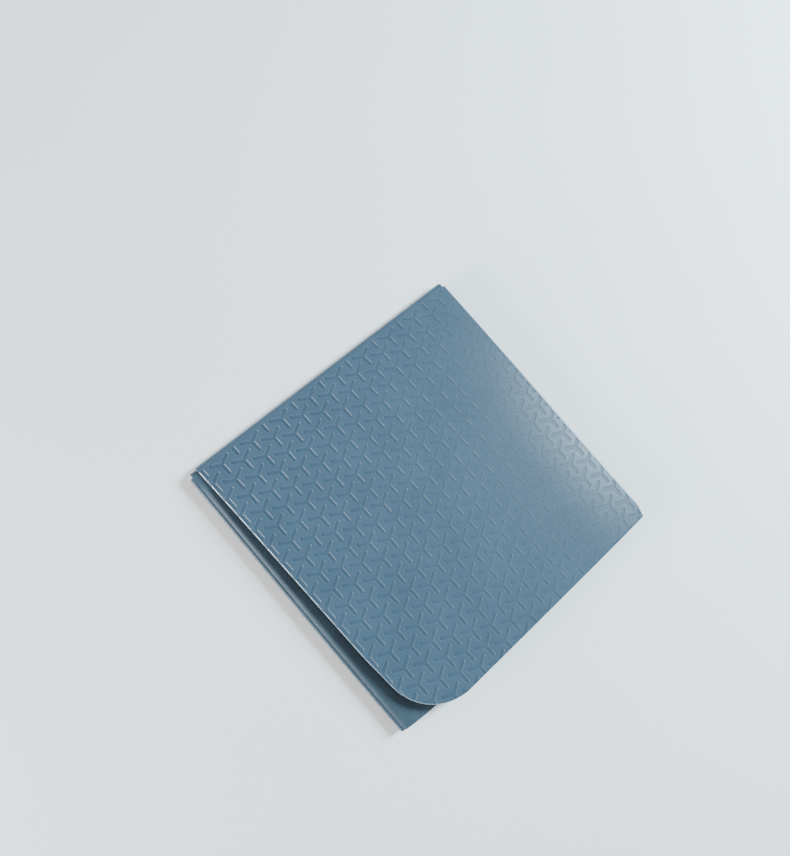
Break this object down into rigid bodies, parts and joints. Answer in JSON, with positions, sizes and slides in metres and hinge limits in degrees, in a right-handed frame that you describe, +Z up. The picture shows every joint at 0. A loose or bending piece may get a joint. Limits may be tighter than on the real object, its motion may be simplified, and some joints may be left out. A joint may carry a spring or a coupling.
{
  "type": "folded foam floor mat",
  "caption": "Thin embossed foam mat with rounded corners, folded zigzag and then in half into a flat square package for kneeling on or carrying.",
  "frame": {"origin": "centre of the underside of the folded package, on the surface it lies on", "axes": "+Z up through the leaves, +Y to the lengthwise fold (the spine), +X to the first crosswise crease"},
  "size_m": [0.3062, 0.3032, 0.0105],
  "materials": {
    "cushion": "matt embossed foam",
    "grip": "fine-grained grip skin",
    "scrim": "open woven mesh",
    "fold": "pressed foam crease"
  },
  "bodies": {
    "leaf_1a": {"leaf_1a_cushion": "cushion", "leaf_1a_scrim": "scrim", "leaf_1a_grip": "grip"},
    "leaf_2a": {"leaf_2a_cushion": "cushion", "leaf_2a_scrim": "scrim", "leaf_2a_grip": "grip", "crease_a_1_2": "fold"},
    "leaf_3a": {"leaf_3a_cushion": "cushion", "leaf_3a_scrim": "scrim", "leaf_3a_grip": "grip", "crease_a_2_3": "fold"},
    "leaf_1b": {"leaf_1b_cushion": "cushion", "leaf_1b_scrim": "scrim", "leaf_1b_grip": "grip", "spine_fold_1": "fold"},
    "leaf_2b": {"leaf_2b_cushion": "cushion", "leaf_2b_scrim": "scrim", "leaf_2b_grip": "grip", "crease_b_1_2": "fold", "spine_fold_2": "fold"},
    "leaf_3b": {"leaf_3b_cushion": "cushion", "leaf_3b_scrim": "scrim", "leaf_3b_grip": "grip", "crease_b_2_3": "fold", "spine_fold_3": "fold"}
  },
  "joints": [
    {"name": "half_fold", "type": "hinge", "parent": "leaf_3b", "child": "leaf_3a", "pos_m": [0, 0.14634, 0.00525], "axis": [-1, 0, 0], "range_deg": [0, 180], "deforming": ["spine_fold_1", "spine_fold_2", "spine_fold_3"]},
    {"name": "crease_a_2_3_hinge", "type": "hinge", "parent": "leaf_3a", "child": "leaf_2a", "pos_m": [-0.1515, 0, 0.00705], "axis": [0, -1, 0], "range_deg": [0, 180], "deforming": ["crease_a_2_3"]},
    {"name": "crease_b_2_3_hinge", "type": "hinge", "parent": "leaf_3b", "child": "leaf_2b", "pos_m": [-0.1515, 0, 0.00345], "axis": [0, 1, 0], "range_deg": [0, 180], "deforming": ["crease_b_2_3"]},
    {"name": "crease_a_1_2_hinge", "type": "hinge", "parent": "leaf_2a", "child": "leaf_1a", "pos_m": [0.1515, 0, 0.00885], "axis": [0, 1, 0], "range_deg": [0, 180], "deforming": ["crease_a_1_2"]},
    {"name": "crease_b_1_2_hinge", "type": "hinge", "parent": "leaf_2b", "child": "leaf_1b", "pos_m": [0.1515, 0, 0.00165], "axis": [0, -1, 0], "range_deg": [0, 180], "deforming": ["crease_b_1_2"]}
  ],
  "couplings": [
    {"joint": "crease_b_2_3_hinge", "follows": "crease_a_2_3_hinge", "ratio": 1},
    {"joint": "crease_a_1_2_hinge", "follows": "crease_a_2_3_hinge", "ratio": 1},
    {"joint": "crease_b_1_2_hinge", "follows": "crease_a_2_3_hinge", "ratio": 1}
  ]
}
